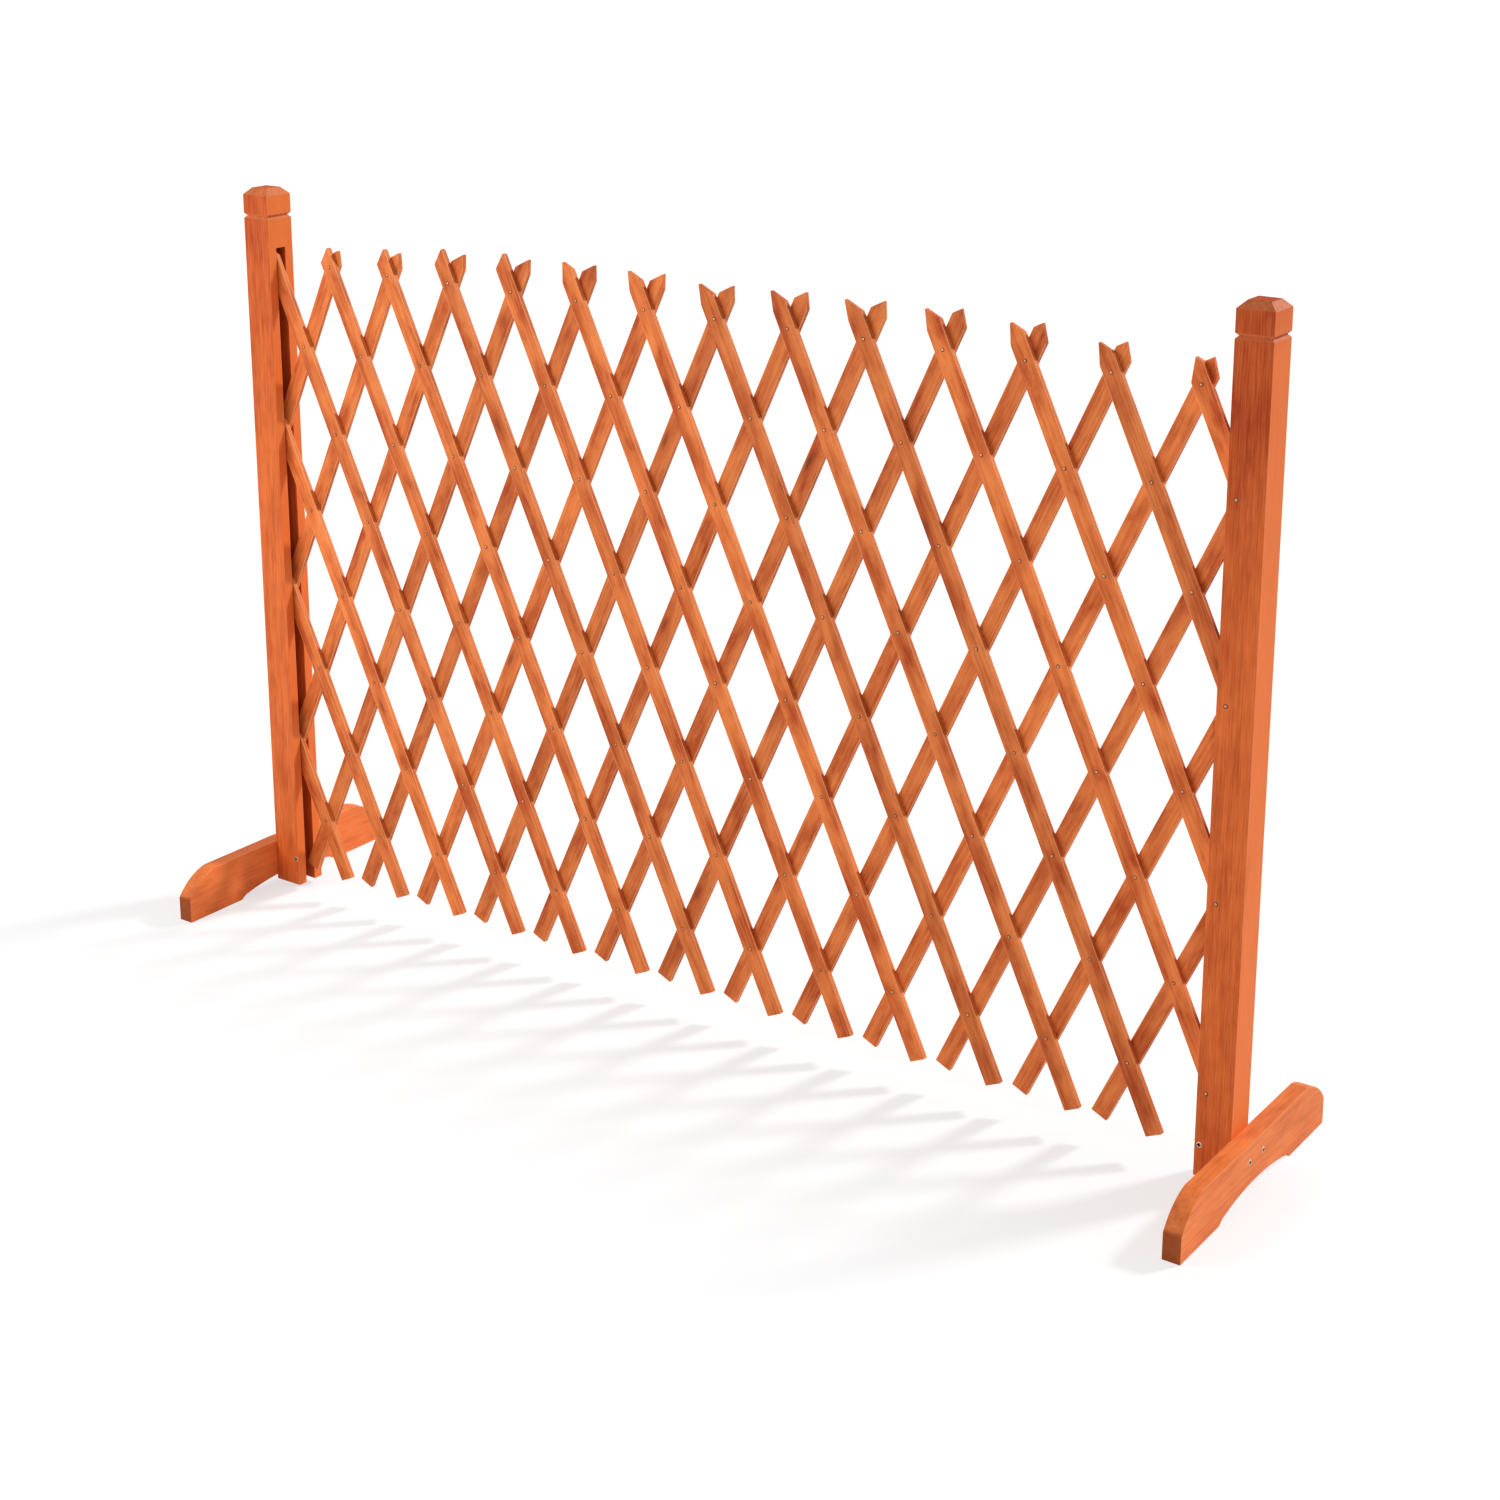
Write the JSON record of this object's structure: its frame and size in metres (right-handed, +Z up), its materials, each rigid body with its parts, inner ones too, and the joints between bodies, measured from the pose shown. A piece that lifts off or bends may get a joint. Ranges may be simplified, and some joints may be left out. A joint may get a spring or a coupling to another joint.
{
  "type": "expandable wooden trellis",
  "caption": "Free-standing folding trellis fence: crossed riveted slats that open and close like a scissor between two slotted square posts on arched feet.",
  "frame": {"origin": "on the ground, midway between the posts and midway between front and back", "axes": "+X along the fence towards the post that carries the lattice's fixed pivot, +Y towards the back, +Z up"},
  "size_m": [1.391, 0.343, 0.914],
  "materials": {
    "back_slat_wood": "orange-brown stained softwood, satin",
    "front_slat_wood": "orange-brown stained softwood, satin",
    "left_foot_wood": "orange-brown stained softwood, satin",
    "left_post_wood": "orange-brown stained softwood, satin",
    "right_foot_wood": "orange-brown stained softwood, satin",
    "right_post_wood": "orange-brown stained softwood, satin",
    "rivet_steel": "zinc-plated steel",
    "screw_steel": "zinc-plated steel"
  },
  "bodies": {
    "right_post_assembly": {"right_post": "right_post_wood", "right_foot": "right_foot_wood", "right_foot_screws": "screw_steel", "right_post_screw": "screw_steel", "right_post_nails": "rivet_steel"},
    "left_post_assembly": {"left_post": "left_post_wood", "left_foot": "left_foot_wood", "left_foot_screws": "screw_steel", "left_post_screw": "screw_steel"},
    "left_slide_pin": {"left_slide_pin": "rivet_steel"},
    "front_slat_01": {"front_slat_01": "front_slat_wood", "rivets_01": "rivet_steel"},
    "front_slat_02": {"front_slat_02": "front_slat_wood", "rivets_02": "rivet_steel"},
    "front_slat_03": {"front_slat_03": "front_slat_wood", "rivets_03": "rivet_steel"},
    "front_slat_04": {"front_slat_04": "front_slat_wood", "rivets_04": "rivet_steel"},
    "front_slat_05": {"front_slat_05": "front_slat_wood", "rivets_05": "rivet_steel"},
    "front_slat_06": {"front_slat_06": "front_slat_wood", "rivets_06": "rivet_steel"},
    "front_slat_07": {"front_slat_07": "front_slat_wood", "rivets_07": "rivet_steel"},
    "front_slat_08": {"front_slat_08": "front_slat_wood", "rivets_08": "rivet_steel"},
    "front_slat_09": {"front_slat_09": "front_slat_wood", "rivets_09": "rivet_steel"},
    "front_slat_10": {"front_slat_10": "front_slat_wood", "rivets_10": "rivet_steel"},
    "front_slat_11": {"front_slat_11": "front_slat_wood", "rivets_11": "rivet_steel"},
    "front_slat_12": {"front_slat_12": "front_slat_wood", "rivets_12": "rivet_steel"},
    "front_slat_13": {"front_slat_13": "front_slat_wood", "rivets_13": "rivet_steel"},
    "front_slat_14": {"front_slat_14": "front_slat_wood", "rivets_14": "rivet_steel"},
    "front_slat_15": {"front_slat_15": "front_slat_wood", "rivets_15": "rivet_steel"},
    "front_slat_16": {"front_slat_16": "front_slat_wood", "rivets_16": "rivet_steel"},
    "front_slat_17": {"front_slat_17": "front_slat_wood", "rivets_17": "rivet_steel"},
    "back_slat_01": {"back_slat_01": "back_slat_wood"},
    "back_slat_02": {"back_slat_02": "back_slat_wood"},
    "back_slat_03": {"back_slat_03": "back_slat_wood"},
    "back_slat_04": {"back_slat_04": "back_slat_wood"},
    "back_slat_05": {"back_slat_05": "back_slat_wood"},
    "back_slat_06": {"back_slat_06": "back_slat_wood"},
    "back_slat_07": {"back_slat_07": "back_slat_wood"},
    "back_slat_08": {"back_slat_08": "back_slat_wood"},
    "back_slat_09": {"back_slat_09": "back_slat_wood"},
    "back_slat_10": {"back_slat_10": "back_slat_wood"},
    "back_slat_11": {"back_slat_11": "back_slat_wood"},
    "back_slat_12": {"back_slat_12": "back_slat_wood"},
    "back_slat_13": {"back_slat_13": "back_slat_wood"},
    "back_slat_14": {"back_slat_14": "back_slat_wood"},
    "back_slat_15": {"back_slat_15": "back_slat_wood"},
    "back_slat_16": {"back_slat_16": "back_slat_wood"}
  },
  "joints": [
    {"name": "fold", "type": "hinge", "parent": "right_post_assembly", "child": "back_slat_14", "pos_m": [0.64554, 0, 0.72251], "axis": [0, 1, 0], "range_deg": [-4.4, 9.4]},
    {"name": "front_slat_17_turn", "type": "hinge", "parent": "right_post_assembly", "child": "front_slat_17", "pos_m": [0.64554, 0, 0.72251], "axis": [0, 1, 0], "range_deg": [-9.6, 4.6]},
    {"name": "front_slat_16_turn", "type": "hinge", "parent": "back_slat_14", "child": "front_slat_16", "pos_m": [0.59772, 0, 0.61903], "axis": [0, 1, 0], "range_deg": [-19, 9]},
    {"name": "front_slat_15_turn", "type": "hinge", "parent": "back_slat_14", "child": "front_slat_15", "pos_m": [0.5499, 0, 0.51554], "axis": [0, 1, 0], "range_deg": [-19, 9]},
    {"name": "front_slat_14_turn", "type": "hinge", "parent": "back_slat_14", "child": "front_slat_14", "pos_m": [0.50208, 0, 0.41205], "axis": [0, 1, 0], "range_deg": [-19, 9]},
    {"name": "front_slat_13_turn", "type": "hinge", "parent": "back_slat_14", "child": "front_slat_13", "pos_m": [0.45427, 0, 0.30857], "axis": [0, 1, 0], "range_deg": [-19, 9]},
    {"name": "front_slat_12_turn", "type": "hinge", "parent": "back_slat_14", "child": "front_slat_12", "pos_m": [0.40645, 0, 0.20508], "axis": [0, 1, 0], "range_deg": [-19, 9]},
    {"name": "front_slat_11_turn", "type": "hinge", "parent": "back_slat_14", "child": "front_slat_11", "pos_m": [0.35863, 0, 0.10159], "axis": [0, 1, 0], "range_deg": [-19, 9]},
    {"name": "back_slat_13_turn", "type": "hinge", "parent": "front_slat_11", "child": "back_slat_13", "pos_m": [0.31081, 0, 0.20508], "axis": [0, 1, 0], "range_deg": [-9, 19]},
    {"name": "back_slat_12_turn", "type": "hinge", "parent": "front_slat_11", "child": "back_slat_12", "pos_m": [0.263, 0, 0.30857], "axis": [0, 1, 0], "range_deg": [-9, 19]},
    {"name": "back_slat_11_turn", "type": "hinge", "parent": "front_slat_11", "child": "back_slat_11", "pos_m": [0.21518, 0, 0.41205], "axis": [0, 1, 0], "range_deg": [-9, 19]},
    {"name": "back_slat_10_turn", "type": "hinge", "parent": "front_slat_11", "child": "back_slat_10", "pos_m": [0.16736, 0, 0.51554], "axis": [0, 1, 0], "range_deg": [-9, 19]},
    {"name": "back_slat_09_turn", "type": "hinge", "parent": "front_slat_11", "child": "back_slat_09", "pos_m": [0.11954, 0, 0.61903], "axis": [0, 1, 0], "range_deg": [-9, 19]},
    {"name": "back_slat_08_turn", "type": "hinge", "parent": "front_slat_11", "child": "back_slat_08", "pos_m": [0.07173, 0, 0.72251], "axis": [0, 1, 0], "range_deg": [-9, 19]},
    {"name": "back_slat_07_turn", "type": "hinge", "parent": "front_slat_11", "child": "back_slat_07", "pos_m": [0.02391, 0, 0.826], "axis": [0, 1, 0], "range_deg": [-9, 19]},
    {"name": "front_slat_10_turn", "type": "hinge", "parent": "back_slat_07", "child": "front_slat_10", "pos_m": [-0.02391, 0, 0.72251], "axis": [0, 1, 0], "range_deg": [-19, 9]},
    {"name": "front_slat_09_turn", "type": "hinge", "parent": "back_slat_07", "child": "front_slat_09", "pos_m": [-0.07173, 0, 0.61903], "axis": [0, 1, 0], "range_deg": [-19, 9]},
    {"name": "front_slat_08_turn", "type": "hinge", "parent": "back_slat_07", "child": "front_slat_08", "pos_m": [-0.11954, 0, 0.51554], "axis": [0, 1, 0], "range_deg": [-19, 9]},
    {"name": "front_slat_07_turn", "type": "hinge", "parent": "back_slat_07", "child": "front_slat_07", "pos_m": [-0.16736, 0, 0.41205], "axis": [0, 1, 0], "range_deg": [-19, 9]},
    {"name": "front_slat_06_turn", "type": "hinge", "parent": "back_slat_07", "child": "front_slat_06", "pos_m": [-0.21518, 0, 0.30857], "axis": [0, 1, 0], "range_deg": [-19, 9]},
    {"name": "front_slat_05_turn", "type": "hinge", "parent": "back_slat_07", "child": "front_slat_05", "pos_m": [-0.263, 0, 0.20508], "axis": [0, 1, 0], "range_deg": [-19, 9]},
    {"name": "front_slat_04_turn", "type": "hinge", "parent": "back_slat_07", "child": "front_slat_04", "pos_m": [-0.31081, 0, 0.10159], "axis": [0, 1, 0], "range_deg": [-19, 9]},
    {"name": "back_slat_06_turn", "type": "hinge", "parent": "front_slat_04", "child": "back_slat_06", "pos_m": [-0.35863, 0, 0.20508], "axis": [0, 1, 0], "range_deg": [-9, 19]},
    {"name": "back_slat_05_turn", "type": "hinge", "parent": "front_slat_04", "child": "back_slat_05", "pos_m": [-0.40645, 0, 0.30857], "axis": [0, 1, 0], "range_deg": [-9, 19]},
    {"name": "back_slat_04_turn", "type": "hinge", "parent": "front_slat_04", "child": "back_slat_04", "pos_m": [-0.45427, 0, 0.41205], "axis": [0, 1, 0], "range_deg": [-9, 19]},
    {"name": "back_slat_03_turn", "type": "hinge", "parent": "front_slat_04", "child": "back_slat_03", "pos_m": [-0.50208, 0, 0.51554], "axis": [0, 1, 0], "range_deg": [-9, 19]},
    {"name": "back_slat_02_turn", "type": "hinge", "parent": "front_slat_04", "child": "back_slat_02", "pos_m": [-0.5499, 0, 0.61903], "axis": [0, 1, 0], "range_deg": [-9, 19]},
    {"name": "back_slat_01_turn", "type": "hinge", "parent": "front_slat_04", "child": "back_slat_01", "pos_m": [-0.59772, 0, 0.72251], "axis": [0, 1, 0], "range_deg": [-9, 19]},
    {"name": "front_slat_03_turn", "type": "hinge", "parent": "back_slat_04", "child": "front_slat_03", "pos_m": [-0.50208, 0, 0.30857], "axis": [0, 1, 0], "range_deg": [-19, 9]},
    {"name": "front_slat_02_turn", "type": "hinge", "parent": "back_slat_04", "child": "front_slat_02", "pos_m": [-0.5499, 0, 0.20508], "axis": [0, 1, 0], "range_deg": [-19, 9]},
    {"name": "front_slat_01_turn", "type": "hinge", "parent": "back_slat_04", "child": "front_slat_01", "pos_m": [-0.59772, 0, 0.10159], "axis": [0, 1, 0], "range_deg": [-19, 9]},
    {"name": "back_slat_15_turn", "type": "hinge", "parent": "front_slat_13", "child": "back_slat_15", "pos_m": [0.50208, 0, 0.20508], "axis": [0, 1, 0], "range_deg": [-9, 19]},
    {"name": "back_slat_16_turn", "type": "hinge", "parent": "front_slat_13", "child": "back_slat_16", "pos_m": [0.5499, 0, 0.10159], "axis": [0, 1, 0], "range_deg": [-9, 19]},
    {"name": "left_slide_pin_turn", "type": "hinge", "parent": "front_slat_04", "child": "left_slide_pin", "pos_m": [-0.64554, 0, 0.826], "axis": [0, 1, 0], "range_deg": [-4.6, 9.6]},
    {"name": "left_post_slide", "type": "slide", "parent": "left_slide_pin", "child": "left_post_assembly", "axis": [0, 0, 1], "range_m": [-0.0045, 0.009]}
  ],
  "couplings": [
    {"joint": "front_slat_17_turn", "follows": "fold", "ratio": -1},
    {"joint": "front_slat_16_turn", "follows": "fold", "ratio": -2},
    {"joint": "front_slat_15_turn", "follows": "fold", "ratio": -2},
    {"joint": "front_slat_14_turn", "follows": "fold", "ratio": -2},
    {"joint": "front_slat_13_turn", "follows": "fold", "ratio": -2},
    {"joint": "front_slat_12_turn", "follows": "fold", "ratio": -2},
    {"joint": "front_slat_11_turn", "follows": "fold", "ratio": -2},
    {"joint": "back_slat_13_turn", "follows": "fold", "ratio": 2},
    {"joint": "back_slat_12_turn", "follows": "fold", "ratio": 2},
    {"joint": "back_slat_11_turn", "follows": "fold", "ratio": 2},
    {"joint": "back_slat_10_turn", "follows": "fold", "ratio": 2},
    {"joint": "back_slat_09_turn", "follows": "fold", "ratio": 2},
    {"joint": "back_slat_08_turn", "follows": "fold", "ratio": 2},
    {"joint": "back_slat_07_turn", "follows": "fold", "ratio": 2},
    {"joint": "front_slat_10_turn", "follows": "fold", "ratio": -2},
    {"joint": "front_slat_09_turn", "follows": "fold", "ratio": -2},
    {"joint": "front_slat_08_turn", "follows": "fold", "ratio": -2},
    {"joint": "front_slat_07_turn", "follows": "fold", "ratio": -2},
    {"joint": "front_slat_06_turn", "follows": "fold", "ratio": -2},
    {"joint": "front_slat_05_turn", "follows": "fold", "ratio": -2},
    {"joint": "front_slat_04_turn", "follows": "fold", "ratio": -2},
    {"joint": "back_slat_06_turn", "follows": "fold", "ratio": 2},
    {"joint": "back_slat_05_turn", "follows": "fold", "ratio": 2},
    {"joint": "back_slat_04_turn", "follows": "fold", "ratio": 2},
    {"joint": "back_slat_03_turn", "follows": "fold", "ratio": 2},
    {"joint": "back_slat_02_turn", "follows": "fold", "ratio": 2},
    {"joint": "back_slat_01_turn", "follows": "fold", "ratio": 2},
    {"joint": "front_slat_03_turn", "follows": "fold", "ratio": -2},
    {"joint": "front_slat_02_turn", "follows": "fold", "ratio": -2},
    {"joint": "front_slat_01_turn", "follows": "fold", "ratio": -2},
    {"joint": "back_slat_15_turn", "follows": "fold", "ratio": 2},
    {"joint": "back_slat_16_turn", "follows": "fold", "ratio": 2},
    {"joint": "left_slide_pin_turn", "follows": "fold", "ratio": 1},
    {"joint": "left_post_slide", "follows": "fold", "m_per_rad": 0.0522}
  ]
}
